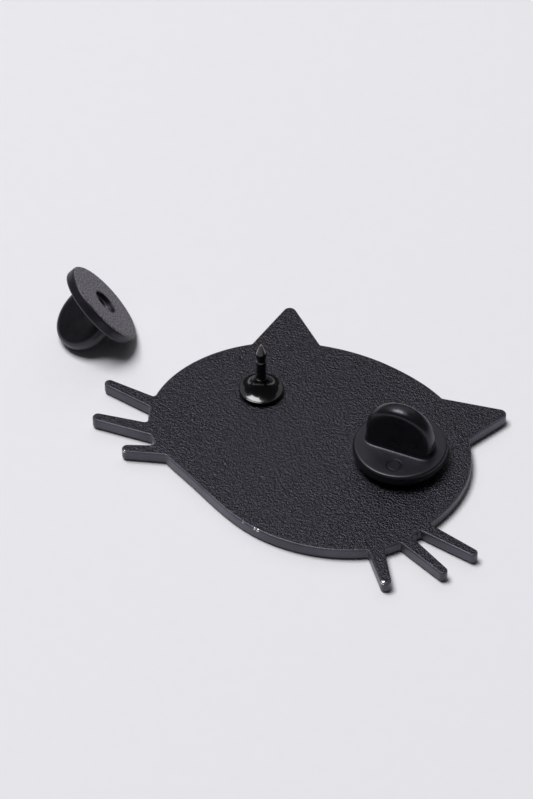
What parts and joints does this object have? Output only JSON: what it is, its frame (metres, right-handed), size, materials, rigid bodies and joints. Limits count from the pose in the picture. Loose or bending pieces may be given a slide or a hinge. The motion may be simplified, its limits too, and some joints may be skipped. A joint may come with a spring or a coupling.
{
  "type": "enamel pin",
  "caption": "Cat's-head enamel pin lying face down: a die-struck plate with thin whiskers, pointed posts on its back, and pinch-grip rubber clutches, one fitted and one lying loose.",
  "frame": {"origin": "on the plane of the front face's raised metal lines, near the centre of the cat's head", "axes": "+Z out of the back, +Y to the ears, +X to the right whiskers as seen from the back"},
  "size_m": [0.0586, 0.0307, 0.0092],
  "materials": {
    "black_plating": "matte",
    "enamel_face": "gloss",
    "enamel_ear": "gloss",
    "enamel_iris": "gloss",
    "enamel_pupil": "gloss",
    "pad_plating": "gloss",
    "needle_steel": "gloss",
    "solder": "satin",
    "black_rubber": "satin"
  },
  "bodies": {
    "pin": {"base_plate": "black_plating", "enamel_face": "enamel_face", "enamel_left_ear": "enamel_ear", "enamel_left_iris": "enamel_iris", "enamel_left_pupil": "enamel_pupil", "enamel_nose": "enamel_ear", "enamel_right_ear": "enamel_ear", "enamel_right_iris": "enamel_iris", "enamel_right_pupil": "enamel_pupil", "needle_left": "needle_steel", "needle_right": "needle_steel", "post_pad_left": "pad_plating", "post_pad_right": "pad_plating", "solder_left": "solder", "solder_right": "solder"},
    "clutch_fitted": {"clutch_fitted": "black_rubber"},
    "clutch_loose": {"clutch_loose": "black_rubber"}
  },
  "joints": [
    {"name": "clutch_slide", "type": "slide", "parent": "pin", "child": "clutch_fitted", "axis": [0, 0, 1], "range_m": [0, 0.012]},
    {"name": "clutch_lift", "type": "slide", "parent": "pin", "child": "clutch_loose", "axis": [0, 0, 1], "range_m": [0, 0.03]}
  ]
}
